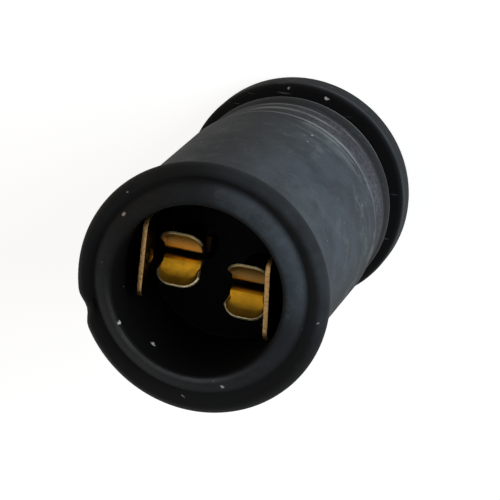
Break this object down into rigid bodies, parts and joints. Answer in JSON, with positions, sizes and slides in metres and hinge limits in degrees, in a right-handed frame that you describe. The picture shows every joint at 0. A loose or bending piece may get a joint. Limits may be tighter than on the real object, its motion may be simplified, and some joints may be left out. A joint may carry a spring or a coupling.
{
  "type": "bulb socket",
  "caption": "Grommet-type rubber bulb socket: a round sleeve with a beaded mouth, a rear flange and groove, and folded brass spring contacts that clip a wedge-base bulb",
  "frame": {"origin": "centre of the flat rear face, on which the socket stands", "axes": "+Z runs along the sleeve from the rear face to the mouth, +X points to the contact whose mid-plane lies on the -Y side, and Y runs across the narrow slits of the contacts"},
  "size_m": [0.0204, 0.0204, 0.0313],
  "materials": {
    "rubber": "matte moulded black rubber with fine scuffs",
    "brass": "bare rolled brass strip, stamped and folded"
  },
  "bodies": {
    "root": {"rubber_body": "rubber", "contact_left": "brass", "contact_right": "brass"}
  },
  "joints": []
}
